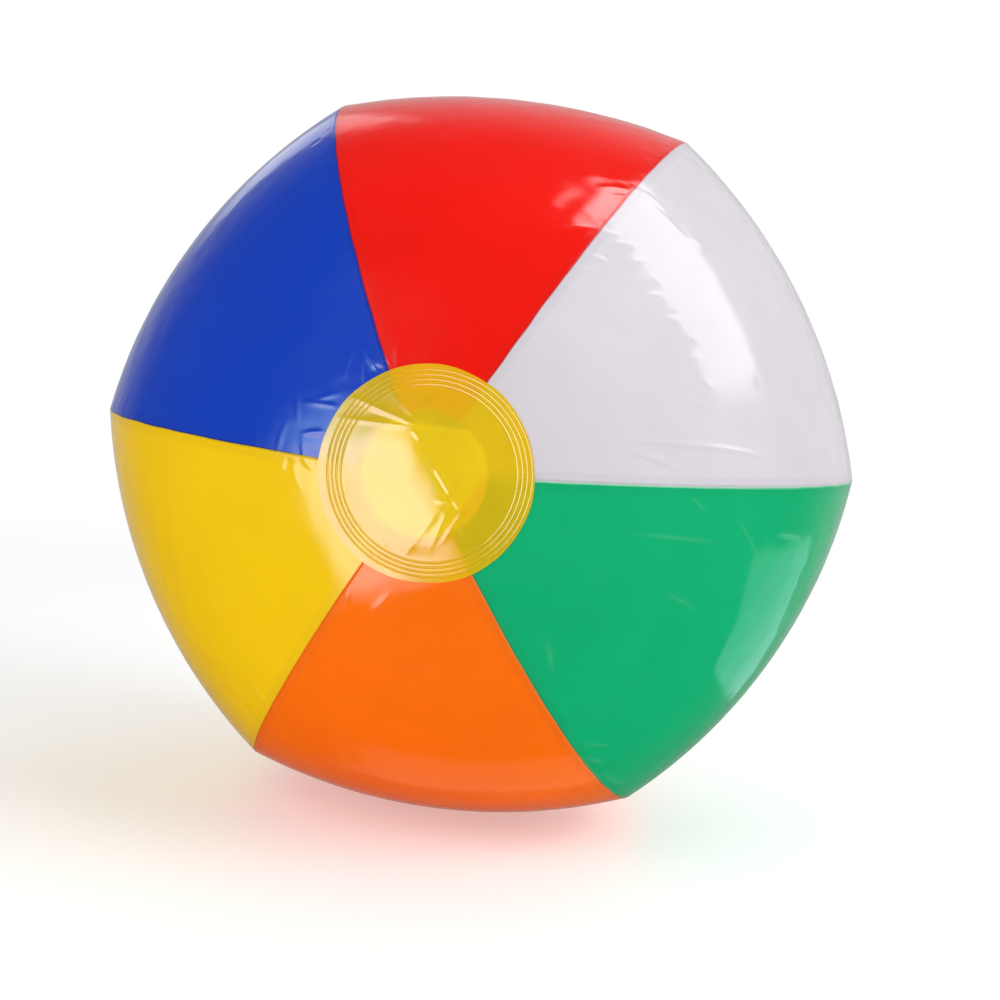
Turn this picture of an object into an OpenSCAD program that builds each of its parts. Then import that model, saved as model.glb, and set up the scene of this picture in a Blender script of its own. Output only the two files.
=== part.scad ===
// Inflatable beach ball: six film panels welded edge over edge, two round end discs,
// and a tethered push-in valve in the centre of the rear end disc.
// Origin at the ball's centre. Poles on the Y axis, valve at +Y. Middle of the red panel at +Z.

/* [Ball] */
// Radius of the inflated ball at its seams, half way between the poles
seam_r = 131; // [110:1:200]
// Distance from the centre to each pole
pole_r = 119.7; // [100:0.1:190]
// How far the middle of a panel lies inside its two seams
panel_dip = 5.95; // [0:0.05:9]
// Power that fades the dip towards the poles
dip_power = 2.54; // [1.5:0.01:4]
// Thickness of the panel film
film = 0.25; // [0.15:0.05:0.6]
// Width of the lap that each panel tucks under the next one
lap = 3; // [2:0.25:5]
// Width over which a panel steps down into its lap
lap_step = 0.8; // [0.4:0.1:1.5]
// Turn of each seam away from its even place, in degrees
seam_shift = [4, -2, -2.9, -1, 0, 1.9]; // [-5:0.1:5]

/* [End discs] */
// Radius of the two end discs
disc_r = 32; // [28:0.5:45]
// Thickness of the end disc film
disc_film = 0.3; // [0.2:0.05:0.6]
// Radius of the opening between the panel tips, under a disc
tip_hole_r = 18.5; // [18:0.5:25]
// Radius of the innermost weld rib
rib_first_r = 26; // [22:0.25:27.5]
// Distance from one weld rib to the next
rib_pitch = 1.4; // [1:0.1:2]
// Number of weld ribs
rib_count = 4; // [2:1:5]
// Width of a weld rib
rib_w = 0.5; // [0.3:0.05:0.8]
// Height of a weld rib above its film
rib_h = 0.2; // [0.1:0.05:0.4]

/* [Valve] */
// Outer radius of the welded flange
flange_r = 17.5; // [16:0.25:17.75]
// Radius of the opening in the flange
well_r = 11.5; // [11:0.1:12.5]
// Thickness of the flange
flange_t = 0.8; // [0.5:0.1:1.2]
// Wall of the folding skirt
skirt_wall = 0.5; // [0.3:0.05:0.8]
// Outer radius of the stem
stem_r = 4.75; // [4.4:0.05:5.2]
// Length of the stem, from its foot to its mouth
stem_len = 12.7; // [11:0.1:15]
// Radius of the foot at the inner end of the stem
foot_r = 6.2; // [5.5:0.1:6.6]
// Thickness of the foot
foot_t = 0.8; // [0.5:0.1:1.5]
// Radius of the bore that takes a pump nozzle
bore_r = 2.6; // [2.2:0.05:2.8]
// Radius of the wider mouth above the bore, which takes the plug
mouth_r = 2.8; // [2.6:0.05:3.2]
// Depth of the mouth
mouth_len = 4.8; // [3:0.1:6]

/* [Plug and flap] */
// Radius of the plug's head
head_r = 5.6; // [5:0.1:6]
// Thickness of the plug's head
head_t = 2.5; // [1.5:0.1:3]
// Radius of the plug's stub at its tip
stub_tip_r = 1.7; // [1.2:0.05:2]
// Distance from the valve's axis to the plug's fold line
fold_s = 9; // [8:0.1:9.2]
// Width of the tether strap
strap_w = 3; // [2:0.25:4]
// Thickness of the tether strap
strap_t = 0.8; // [0.5:0.05:1]
// Radius of the rolled fold of the tether
fold_r = 0.5; // [0.35:0.05:0.6]
// How far the finger tab reaches past the plug's head
tab_len = 1.6; // [1:0.1:2]
// Radius of the check flap
flap_r = 3.9; // [3.3:0.1:4.4]
// Thickness of the check flap
flap_t = 0.6; // [0.4:0.05:1]

/* [Clearances] */
// Hairline between films that are welded to each other
weld_gap = 0.02; // [0.01:0.01:0.05]
// Gap between pieces that move apart
move_gap = 0.3; // [0.2:0.05:0.4]
// Radial gap of a plug in its mouth and a fold in its cradle
fit_gap = 0.05; // [0.03:0.01:0.1]
// Gap between the check flap and the foot
flap_gap = 0.1; // [0.05:0.05:0.2]

/* [Hidden] */
$fn = 96;

// The ball as a body of revolution: its radius at an angle t from a pole
mean_r = (seam_r + pole_r) / 2;
flattening = (seam_r - pole_r) / (seam_r + pole_r);
function base_r(t) = mean_r * (1 - flattening * cos(2 * t));
function ring_r(t) = base_r(t) * sin(t);

// The angle from the pole at which a skin lifted off the ball reaches a radius about the Y axis
function angle_at(radius, lift, tries = 6) =
    tries == 0 ? asin(radius / pole_r)
    : asin(radius / (base_r(angle_at(radius, lift, tries - 1)) + lift));

// The panels: seam k starts panel k, counted clockwise from the one left of the top
PANELS = 6;
STRIPS = 8;
ROWS = 32;
COLUMNS = STRIPS + 4;
even_turn = 360 / PANELS;
tip_angle = angle_at(tip_hole_r, 0);
function seam_lon(k) = even_turn * (k - 0.5) + seam_shift[k % PANELS];
function row_angle(row) = tip_angle + (180 - 2 * tip_angle) * row / ROWS;
function degrees_per_mm(t) = 180 / (PI * ring_r(t));

// Columns: the free edge, the end of the neighbour's lap, the panel, the step, and the own lap
function column_lon(k, c, t) =
    let (from = seam_lon(k), to = seam_lon(k + 1), mm = degrees_per_mm(t))
    let (first = from + lap * mm, last = to - lap_step * mm)
    c == 0 ? from
    : c <= STRIPS + 1 ? first + (last - first) * (c - 1) / STRIPS
    : c == STRIPS + 2 ? to
    : to + lap * mm;
function column_sink(c) = c > STRIPS + 1 ? film + weld_gap : 0;
function dip_at(k, lon, t) =
    let (own = lon <= seam_lon(k + 1), side = own ? k : k + 1)
    let (u = 2 * (lon - seam_lon(side)) / (seam_lon(side + 1) - seam_lon(side)) - 1)
    panel_dip * pow(sin(t), dip_power) * (1 - u * u);
function skin_point(k, c, row, depth) =
    let (t = row_angle(row), lon = column_lon(k, c, t))
    let (r = base_r(t) - dip_at(k, lon, t) - column_sink(c) - depth)
    [r * sin(t) * sin(lon), -r * cos(t), r * sin(t) * cos(lon)];

// A closed film between an outer and an inner grid of points
module panel(k) {
    per_side = COLUMNS * (ROWS + 1);
    points = [for (depth = [0, film], row = [0:ROWS], c = [0:COLUMNS - 1]) skin_point(k, c, row, depth)];
    function at(row, c, side) = side * per_side + row * COLUMNS + c;
    function split(a, b, c, d) = [[a, b, c], [a, c, d]];
    outer = [for (row = [0:ROWS - 1], c = [0:COLUMNS - 2])
        each split(at(row, c, 0), at(row, c + 1, 0), at(row + 1, c + 1, 0), at(row + 1, c, 0))];
    inner = [for (row = [0:ROWS - 1], c = [0:COLUMNS - 2])
        each [for (f = split(at(row, c, 1), at(row, c + 1, 1), at(row + 1, c + 1, 1), at(row + 1, c, 1)))
            [f[2], f[1], f[0]]]];
    side_walls = [for (row = [0:ROWS - 1])
        each concat(
            split(at(row, 0, 1), at(row, 0, 0), at(row + 1, 0, 0), at(row + 1, 0, 1)),
            split(at(row, COLUMNS - 1, 0), at(row, COLUMNS - 1, 1),
                at(row + 1, COLUMNS - 1, 1), at(row + 1, COLUMNS - 1, 0)))];
    end_walls = [for (c = [0:COLUMNS - 2])
        each concat(
            split(at(0, c, 1), at(0, c + 1, 1), at(0, c + 1, 0), at(0, c, 0)),
            split(at(ROWS, c, 0), at(ROWS, c + 1, 0), at(ROWS, c + 1, 1), at(ROWS, c, 1)))];
    polyhedron(points, concat(outer, inner, side_walls, end_walls), convexity = 6);
}

module panel_blue() { color([0.10, 0.25, 0.72]) panel(5); }
module panel_red() { color([0.92, 0.11, 0.07]) panel(0); }
module panel_white() { color([0.87, 0.85, 0.87]) panel(1); }
module panel_green() { color([0.08, 0.66, 0.42]) panel(2); }
module panel_orange() { color([1.00, 0.43, 0.06]) panel(3); }
module panel_yellow() { color([0.93, 0.76, 0.09]) panel(4); }

// Skins of revolution about a pole: drawn along +Z, then turned onto the Y axis
module at_front() { rotate([90, 0, 0]) children(); }
module at_rear() { rotate([-90, 0, 0]) children(); }
function skin_edge(r0, r1, lift, steps) = [for (i = [0:steps])
    let (t = angle_at(r0 + (r1 - r0) * i / steps, lift))
    [(base_r(t) + lift) * sin(t), (base_r(t) + lift) * cos(t)]];
module skin_ring(r0, r1, lift, thick, steps = 16)
    rotate_extrude() polygon(concat(skin_edge(r0, r1, lift, steps), skin_edge(r1, r0, lift + thick, steps)));
module rib(radius, lift) {
    t = angle_at(radius, lift);
    sunk = 0.05;
    translate([0, 0, (base_r(t) + lift) * cos(t)])
        rotate_extrude()
            translate([radius, 0])
                rotate(-t)
                    polygon([[-rib_w / 2, -sunk], [rib_w / 2, -sunk], [rib_w / 5, rib_h], [-rib_w / 5, rib_h]]);
}
module disc(hole_r) {
    skin_ring(hole_r, disc_r, weld_gap, disc_film);
    for (i = [0:rib_count - 1])
        rib(rib_first_r + i * rib_pitch, weld_gap + disc_film);
}
module end_disc_front() { color([0.93, 0.83, 0.25, 0.75]) at_front() disc(0); }
module end_disc_rear() { color([0.93, 0.83, 0.25, 0.75]) at_rear() disc(well_r + weld_gap); }

// The valve: z is measured outwards from the flange's face at the edge of its opening
flange_lift = disc_film + 2 * weld_gap;
well_angle = angle_at(well_r, flange_lift + flange_t);
valve_z = (base_r(well_angle) + flange_lift + flange_t) * cos(well_angle);
stem_top = -head_t - move_gap;
stem_foot = stem_top - stem_len;
stub_r = mouth_r - fit_gap;
stub_len = mouth_len - move_gap;
fold_z = -head_t;
hinge_side = -1;
module in_valve() { at_rear() translate([0, 0, valve_z]) children(); }
module bar(s0, s1, w, z0, z1) {
    translate([-w / 2, min(hinge_side * s0, hinge_side * s1), z0])
        cube([w, abs(s1 - s0), z1 - z0]);
}
module fold_cylinder(r, w)
    translate([-w / 2, hinge_side * fold_s, fold_z])
        rotate([0, 90, 0])
            cylinder(r = r, h = w);

module valve_flange() {
    color([0.90, 0.91, 0.92, 0.7]) at_rear() {
        skin_ring(well_r, flange_r, flange_lift, flange_t);
        for (share = [0.35, 0.6, 0.85])
            rib(well_r + (flange_r - well_r) * share, flange_lift + flange_t);
    }
}

// The skirt folded inwards as a cup: from the flange's opening down to the stem's foot
module valve_skirt() {
    rim = well_r - weld_gap;
    end = foot_r + move_gap;
    drop = -stem_foot - foot_t;
    bend = rim - end;
    steps = 10;
    straight = drop - bend * 1.2;
    outer = [for (i = [0:steps]) let (a = 90 * i / steps)
        [rim - bend * (1 - cos(a)), -straight - (drop - straight) * sin(a)]];
    inner = [for (i = [steps:-1:0]) let (a = 90 * i / steps)
        [rim - skirt_wall - (bend - skirt_wall) * (1 - cos(a)),
            -straight - (drop - straight - skirt_wall) * sin(a)]];
    color([0.90, 0.91, 0.92, 0.7]) in_valve()
        rotate_extrude() polygon(concat([[rim, 0]], outer, inner, [[rim - skirt_wall, 0]]));
}

module valve_stem() {
    lug_t = 1.2;
    lug_end = fold_s + fold_r + 0.2;
    color([0.88, 0.90, 0.92, 0.7]) in_valve() difference() {
        union() {
            translate([0, 0, stem_foot]) cylinder(r = stem_r, h = stem_len);
            translate([0, 0, stem_foot]) cylinder(r = foot_r, h = foot_t);
            bar(mouth_r + fit_gap, lug_end, strap_w, stem_top - lug_t, stem_top);
        }
        translate([0, 0, stem_foot - 1]) cylinder(r = bore_r, h = stem_len + 2);
        translate([0, 0, stem_top - mouth_len]) cylinder(r = mouth_r, h = mouth_len + 1);
        fold_cylinder(fold_r + 2 * fit_gap, strap_w + 2);
    }
}

module valve_plug() {
    edge = 0.5;
    stub = [[0, fold_z], [stub_r, fold_z], [stub_tip_r, fold_z - stub_len], [0, fold_z - stub_len]];
    head = [[0, fold_z], [head_r, fold_z], [head_r, -edge], [head_r - edge, 0], [0, 0]];
    color([0.88, 0.90, 0.92, 0.7]) in_valve() {
        rotate_extrude() polygon(stub);
        rotate_extrude() polygon(head);
        bar(0, -head_r - tab_len, strap_w, fold_z, fold_z + strap_t);
    }
}

module plug_tether() {
    color([0.88, 0.90, 0.92, 0.7]) in_valve() difference() {
        union() {
            bar(stem_r, fold_s, strap_w, fold_z, fold_z + strap_t);
            fold_cylinder(fold_r, strap_w);
        }
        translate([0, 0, fold_z - 1]) cylinder(r = head_r + weld_gap, h = head_t + 2);
    }
}

module check_flap() {
    top = stem_foot - flap_gap;
    tab_end = flap_r + 1;
    color([0.86, 0.88, 0.90, 0.7]) in_valve() {
        translate([0, 0, top - flap_t]) cylinder(r = flap_r, h = flap_t);
        bar(flap_r / 2, tab_end, strap_w, top - flap_t, top);
    }
}

panel_red();
panel_white();
panel_green();
panel_orange();
panel_yellow();
panel_blue();
end_disc_front();
end_disc_rear();
valve_flange();
valve_skirt();
valve_stem();
valve_plug();
plug_tether();
check_flap();
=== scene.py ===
"""Inflatable beach ball: six welded film panels, two end discs and a push-in valve, in a pale studio."""
import math

import bmesh
import bpy
import numpy as np
from mathutils import Matrix, Vector


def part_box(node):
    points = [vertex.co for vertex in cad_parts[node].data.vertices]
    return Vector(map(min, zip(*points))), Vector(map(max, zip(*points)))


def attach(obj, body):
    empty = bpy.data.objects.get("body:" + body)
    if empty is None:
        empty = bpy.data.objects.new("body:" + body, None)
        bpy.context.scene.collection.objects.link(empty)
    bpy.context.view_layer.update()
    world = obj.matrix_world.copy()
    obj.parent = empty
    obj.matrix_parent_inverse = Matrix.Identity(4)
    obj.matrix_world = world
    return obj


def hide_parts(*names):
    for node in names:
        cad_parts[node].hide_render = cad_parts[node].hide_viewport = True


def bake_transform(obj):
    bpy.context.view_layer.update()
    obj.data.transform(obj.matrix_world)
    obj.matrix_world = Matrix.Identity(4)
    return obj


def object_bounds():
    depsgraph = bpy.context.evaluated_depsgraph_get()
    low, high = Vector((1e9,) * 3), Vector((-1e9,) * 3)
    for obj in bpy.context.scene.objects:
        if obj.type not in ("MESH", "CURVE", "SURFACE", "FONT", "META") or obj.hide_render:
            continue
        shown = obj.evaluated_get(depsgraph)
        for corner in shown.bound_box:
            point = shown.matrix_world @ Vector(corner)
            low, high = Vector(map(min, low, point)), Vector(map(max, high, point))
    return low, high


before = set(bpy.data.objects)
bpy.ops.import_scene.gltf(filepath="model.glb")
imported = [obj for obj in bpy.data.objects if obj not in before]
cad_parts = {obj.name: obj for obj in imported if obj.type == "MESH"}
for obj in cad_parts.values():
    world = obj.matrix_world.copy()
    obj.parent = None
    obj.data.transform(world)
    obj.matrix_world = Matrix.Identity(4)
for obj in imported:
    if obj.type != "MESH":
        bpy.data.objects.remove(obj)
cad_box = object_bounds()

MM = 0.001

# ---- sizes of the ball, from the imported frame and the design's own film and lap sizes
FILM = 0.25 * MM
LAP = 3 * MM
LAP_STEP = 0.8 * MM
WELD_GAP = 0.02 * MM
DISC_FILM = 0.3 * MM
DISC_LIFT = 0.06 * MM
TIP_HOLE_R = 18.5 * MM
PANEL_DIP = 5.95 * MM
DIP_POWER = 2.54
SEAM_SHIFT = [4, -2, -2.9, -1, 0, 1.9]
PANELS = ["red", "white", "green", "orange", "yellow", "blue"]
EVEN_TURN = 360 / len(PANELS)
SEEDS = {"seams": 100, "puckers": 7, "patches": 3, "ripples": 5, "discs": 19, "rear folds": 11}


def seam_lon(k):
    """Longitude of seam k in radians, clockwise from +Z as seen from the front."""
    return math.radians(EVEN_TURN * (k - 0.5) + SEAM_SHIFT[k % len(PANELS)])


SEAM_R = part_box("panel_white")[1].x / math.sin(seam_lon(2))
POLE_R = -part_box("end_disc_front")[0].y - DISC_FILM - WELD_GAP
DISC_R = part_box("end_disc_front")[1].x
MEAN_R = (SEAM_R + POLE_R) / 2
FLATTENING = (SEAM_R - POLE_R) / (SEAM_R + POLE_R)
FLOOR_Z = cad_box[0].z

# ---- the surface: t is the angle from the front pole at -Y, lon the longitude round the Y axis

ANGLE_ROUNDS = 6
SEAM_WAVES = 9
SEAM_WAVE_NUMBERS = (8, 60)
SEAM_WANDER = 0.06 * MM


def smooth_step(low, high, x):
    """Smooth rise from 0 to 1 as x goes from low to high."""
    s = np.clip((x - low) / (high - low), 0, 1)
    return s * s * (3 - 2 * s)


def base_r(t):
    """Distance of the seams from the ball's centre."""
    return MEAN_R * (1 - FLATTENING * np.cos(2 * t))


def ring_r(t):
    """Distance of the seams from the Y axis."""
    return base_r(t) * np.sin(t)


def angle_at(radius, lift=0.0):
    """Angle from the pole at which a skin lifted off the ball reaches a radius about the Y axis."""
    t = np.arcsin(np.asarray(radius) / POLE_R)
    for _ in range(ANGLE_ROUNDS):
        t = np.arcsin(radius / (base_r(t) + lift))
    return t


TIP_ANGLE = float(angle_at(TIP_HOLE_R))


def seam_line(k, t):
    """Longitude along seam k. The weld wanders a little."""
    rng = np.random.default_rng(SEEDS["seams"] + k % len(PANELS))
    wander = np.zeros_like(t)
    for _ in range(SEAM_WAVES):
        number = rng.uniform(*SEAM_WAVE_NUMBERS)
        wander += np.sin(number * t + rng.uniform(0, 2 * np.pi))
    return seam_lon(k) + SEAM_WANDER * wander / math.sqrt(SEAM_WAVES) / ring_r(t)


def dip(lon, t):
    """How far the panels lie inside the seams."""
    starts = np.array([seam_lon(k) for k in range(len(PANELS) + 1)])
    turned = (lon - starts[0]) % (2 * np.pi) + starts[0]
    k = np.clip(np.searchsorted(starts, turned, side="right") - 1, 0, len(PANELS) - 1)
    u = 2 * (turned - starts[k]) / (starts[k + 1] - starts[k]) - 1
    return PANEL_DIP * np.sin(t) ** DIP_POWER * (1 - u * u)


def on_ball(lon, t, r):
    """Points at distance r from the ball's centre."""
    return np.stack([r * np.sin(t) * np.sin(lon), -r * np.cos(t), r * np.sin(t) * np.cos(lon)], -1)


# ---- wrinkles: each crease is (longitude, angle from the pole, heading, length, width, height)

SEAM_PUCKERS = 60
PUCKER_ANGLES = (17, 163)
PUCKER_TURN = 0.5
PUCKER_SPREAD = 3.5 * MM
PUCKER_LENGTHS = (5 * MM, 18 * MM)
PUCKER_WIDTHS = (0.6 * MM, 1.4 * MM)
PUCKER_HEIGHTS = (0.03 * MM, 0.12 * MM)
CREASE_WIDTH_SCALE = 0.9
CREASE_HEIGHT_SCALE = 3.6
CREASE_BOW = 0.5
CREASE_SHARPNESS = 1.4
# Width of the highlight painted along the folds, as a share of each fold's width
HIGHLIGHT_MARK_WIDTH_SCALE = 0.45
# These are in degrees and millimetres, before the width and height scales
NAMED_CREASES = [
    # white panel: short folds by the red seam
    (31, 40, 26, 12, 0.9, 0.07), (32, 38, 33, 14, 0.9, 0.07), (30, 45, 38, 8, 0.7, 0.05),
    # white panel: a row of nicks
    (33, 45, 50, 8, 0.7, 0.05), (35, 46, 82, 5, 0.6, 0.03), (38, 45, 60, 9, 0.7, 0.06),
    (43, 45, 30, 6, 0.6, 0.04), (45, 43, 55, 11, 0.7, 0.05), (50, 45, 85, 5, 0.6, 0.03),
    (51, 43, 64, 9, 0.7, 0.06), (57, 45, 45, 6, 0.7, 0.04), (60, 43, 78, 10, 0.6, 0.04),
    (66, 44, 35, 6, 0.7, 0.05), (69, 41, 60, 9, 0.7, 0.05), (68, 53, 30, 9, 0.7, 0.05),
    # white panel: two folds side by side near the red seam, and long ones beside the green seam
    (32, 56, 2, 15, 0.8, 0.06), (35, 55, 6, 23, 0.8, 0.06), (42, 57, 20, 7, 0.7, 0.05),
    (77, 36, 79, 42, 1.1, 0.09), (80, 46, 78, 47, 1.1, 0.09), (80, 32, 66, 18, 0.9, 0.09),
    (81, 34, 60, 19, 0.9, 0.09),
    # green panel: folds running away from the white seam, down the middle and by the orange seam
    (91, 40, 55, 11, 1.0, 0.07), (96, 50, 52, 21, 1.0, 0.08), (99, 38, 95, 40, 1.2, 0.05),
    (95, 60, 88, 18, 0.9, 0.06), (112, 43, 86, 19, 1.2, 0.04), (141, 32, 68, 16, 1.5, 0.06),
    (145, 52, 124, 15, 1.0, 0.07), (147, 55, 112, 10, 0.9, 0.08), (147, 64, 95, 26, 1.3, 0.08),
    # orange panel: two folds below the disc
    (194, 20, 65, 12, 1.2, 0.04), (207, 22, 100, 11, 1.0, 0.04),
    # yellow panel: a fold by the orange seam, and puckers at the far left edge
    (214, 48, 165, 12, 1.2, 0.05), (262, 62, 10, 14, 1.3, 0.07), (258, 66, 20, 12, 1.2, 0.06),
    # blue panel: folds that run out from the disc
    (297, 18, -65, 15, 0.8, 0.06), (284, 17, -67, 12, 0.8, 0.06), (290, 21, 30, 12, 0.7, 0.03),
    (301, 18, 140, 12, 0.6, 0.05), (274, 18, 20, 13, 0.7, 0.05), (277, 22, 175, 15, 0.8, 0.03),
    (331, 17, 0, 10, 0.7, 0.06), (330, 17, -44, 10, 0.7, 0.06), (335, 17, -76, 9, 0.6, 0.05),
    (322, 17, 60, 12, 0.7, 0.05), (327, 18, 100, 13, 0.6, 0.06), (318, 19, 35, 11, 0.6, 0.04),
    # yellow panel: folds that run out from the disc
    (268, 17, 50, 10, 0.7, 0.04), (262, 19, 15, 12, 0.8, 0.04),
    # red panel: puckers beside the blue seam, and by the white seam
    (339, 17, 80, 9, 1.0, 0.05), (25, 53, 28, 12, 0.7, 0.06), (27, 52, 32, 10, 0.7, 0.06),
    (24, 43, 30, 16, 1.2, 0.05),
]
RIPPLE_WAVES = 26
RIPPLE_LENGTHS = (5 * MM, 15 * MM)
RIPPLE_SLOPE = 0.020
RIPPLE_LEAST = 0.25
RIPPLE_PATCH = 55 * MM
PATCH_WAVES = 8
PATCH_LIMITS = (-0.4, 1.4)
CALM_START = DISC_R - 1 * MM
CALM_BAND = 3.5 * MM


def named_creases():
    """The listed creases, in radians and metres."""
    found = []
    for lon, t, heading, length, width, height in NAMED_CREASES:
        found.append((np.radians(lon), np.radians(t), np.radians(heading), length * MM,
                      CREASE_WIDTH_SCALE * width * MM, CREASE_HEIGHT_SCALE * height * MM))
    return found


def seam_puckers():
    """Short folds across the seams, denser towards the middle of the ball."""
    rng = np.random.default_rng(SEEDS["puckers"])
    found = []
    for k in range(len(PANELS)):
        for _ in range(SEAM_PUCKERS):
            t = np.radians(rng.uniform(*PUCKER_ANGLES))
            lon = seam_lon(k) + rng.normal(0, PUCKER_SPREAD) / ring_r(t)
            sign = rng.choice([-1, 1])
            found.append((lon, t, rng.normal(0, PUCKER_TURN), rng.uniform(*PUCKER_LENGTHS),
                          rng.uniform(*PUCKER_WIDTHS), sign * rng.uniform(*PUCKER_HEIGHTS)))
    return found


def crease_field(lon, t, creases):
    """Sum of the creases' heights at each point. A crease is a ridge or valley that fades at its ends."""
    total = np.zeros_like(t)
    ring = ring_r(t)
    for c_lon, c_t, heading, length, width, height in creases:
        x = ((lon - c_lon + np.pi) % (2 * np.pi) - np.pi) * ring
        y = (t - c_t) * MEAN_R
        near = (np.abs(x) < length) & (np.abs(y) < length)
        along = (x[near] * math.cos(heading) + y[near] * math.sin(heading)) / (length / 2)
        across = (y[near] * math.cos(heading) - x[near] * math.sin(heading)) / width
        bend = across + CREASE_BOW * along ** 2
        total[near] += height * np.exp(-np.abs(bend) ** CREASE_SHARPNESS) * np.clip(1 - along ** 2, 0, 1) ** 2
    return total


def painted_fold_highlight(lon, t):
    """How strongly a highlight is painted along the listed folds, as if they caught the light, from 0 to 1.
    """
    marks = [(*crease[:4], HIGHLIGHT_MARK_WIDTH_SCALE * crease[4], 1.0) for crease in named_creases()]
    return np.clip(crease_field(lon, t, marks), 0, 1)


def waves(points, lengths, count, seed):
    """Sum of plane waves of equal slope through space, about 1 in size, divided by their wave number."""
    rng = np.random.default_rng(seed)
    total = np.zeros(points.shape[:-1])
    for _ in range(count):
        heading = rng.normal(size=3)
        number = 2 * np.pi / rng.uniform(*lengths)
        heading *= number / np.linalg.norm(heading)
        total += np.sin(points @ heading + rng.uniform(0, 2 * np.pi)) / number
    return total / math.sqrt(count / 2)


def ripples(points):
    """Faint unevenness of the film, in patches."""
    patch = waves(points, (RIPPLE_PATCH, 2 * RIPPLE_PATCH), PATCH_WAVES, SEEDS["patches"])
    patch = patch * (2 * np.pi / (1.5 * RIPPLE_PATCH))
    fine = RIPPLE_SLOPE * waves(points, RIPPLE_LENGTHS, RIPPLE_WAVES, SEEDS["ripples"])
    return fine * (RIPPLE_LEAST + smooth_step(*PATCH_LIMITS, patch))


CREASES = named_creases() + seam_puckers()


def relief(lon, t):
    """All wrinkles outside the discs. They die out before the weld under a disc."""
    r = base_r(t)
    calm = smooth_step(CALM_START, CALM_START + CALM_BAND, ring_r(t))
    return calm * (crease_field(lon, t, CREASES) + ripples(on_ball(lon, t, r)))


def skin(lon, t, lift=0.0):
    """Points of the film's outer surface, moved outwards by lift."""
    return on_ball(lon, t, base_r(t) - dip(lon, t) + relief(lon, t) + lift)


# ---- mesh building

FILM_SHARP = 40
MOULDING_SHARP = 50
MERGE_DISTANCE = 1e-7


def add_piece(name, vertices, faces, material, attributes=None, sharp=FILM_SHARP, merge=False):
    """A mesh object with smooth shading. Edges that turn by more than sharp degrees stay sharp."""
    mesh = bpy.data.meshes.new(name)
    mesh.from_pydata(vertices.tolist(), [], faces)
    for key, values in (attributes or {}).items():
        layer = mesh.attributes.new(key, "FLOAT", "POINT")
        layer.data.foreach_set("value", np.asarray(values, np.float32))
    if merge:
        merge_points(mesh)
    mesh.polygons.foreach_set("use_smooth", [True] * len(mesh.polygons))
    mesh.set_sharp_from_angle(angle=math.radians(sharp))
    mesh.materials.append(material)
    piece = bpy.data.objects.new(name, mesh)
    bpy.context.scene.collection.objects.link(piece)
    return piece


def merge_points(mesh):
    """Joins points that fall together, as those of a ring with no radius do, and turns the faces outwards."""
    work = bmesh.new()
    work.from_mesh(mesh)
    bmesh.ops.remove_doubles(work, verts=work.verts, dist=MERGE_DISTANCE)
    bmesh.ops.recalc_face_normals(work, faces=work.faces)
    work.to_mesh(mesh)
    work.free()


def grid_faces(rows, columns, start, flip, wrap=False):
    """Quads of a grid of points that begin at index start."""
    last = columns if wrap else columns - 1
    row, column = np.meshgrid(np.arange(rows - 1), np.arange(last), indexing="ij")
    right = (column + 1) % columns
    quads = np.stack([row * columns + column, row * columns + right,
                      (row + 1) * columns + right, (row + 1) * columns + column], -1).reshape(-1, 4) + start
    return (quads[:, ::-1] if flip else quads).tolist()


def thinned(count, step, keep_last=0):
    """Every so many indices of a row, with both ends and the last few."""
    return sorted(set(range(0, count, step)) | set(range(count - 1 - keep_last, count)))


def edge_faces(fine, coarse, keep, flip):
    """Faces of a film's edge between a fine chain of points and a thinned one."""
    faces = []
    for i, (a, b) in enumerate(zip(keep[:-1], keep[1:])):
        face = [int(v) for v in fine[a:b + 1]] + [int(coarse[i + 1]), int(coarse[i])]
        faces.append(face[::-1] if flip else face)
    return faces


def shell(outer, inner, rows, columns, edges="NSWE"):
    """Vertices and faces of the closed film between a fine outer grid and an inner grid thinned to some rows
    and columns. Its edges are the first and last row (N, S) and the first and last column (W, E)."""
    thin = inner[np.ix_(rows, columns)]
    count = outer.shape[0] * outer.shape[1]
    fine = np.arange(count).reshape(outer.shape[:2])
    coarse = np.arange(thin.shape[0] * thin.shape[1]).reshape(thin.shape[:2]) + count
    faces = grid_faces(*outer.shape[:2], 0, True) + grid_faces(*thin.shape[:2], count, False)
    if "N" in edges:
        faces += edge_faces(fine[0], coarse[0], columns, False)
    if "S" in edges:
        faces += edge_faces(fine[-1], coarse[-1], columns, True)
    if "W" in edges:
        faces += edge_faces(fine[:, 0], coarse[:, 0], rows, True)
    if "E" in edges:
        faces += edge_faces(fine[:, -1], coarse[:, -1], rows, False)
    return np.concatenate([outer.reshape(-1, 3), thin.reshape(-1, 3)]), faces


# ---- panels

PANEL_ROWS = 470
PANEL_COLUMNS = 174
INNER_STEP = 3
SEAM_CROWDING = 0.42
LAP_STEPS = 4
LAP_COLUMNS = 2
WELD_BAND = 3.2 * MM
WELD_CORE = 0.8
EDGE_BAND = 0.5 * MM
EDGE_CORE = 0.3


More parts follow.
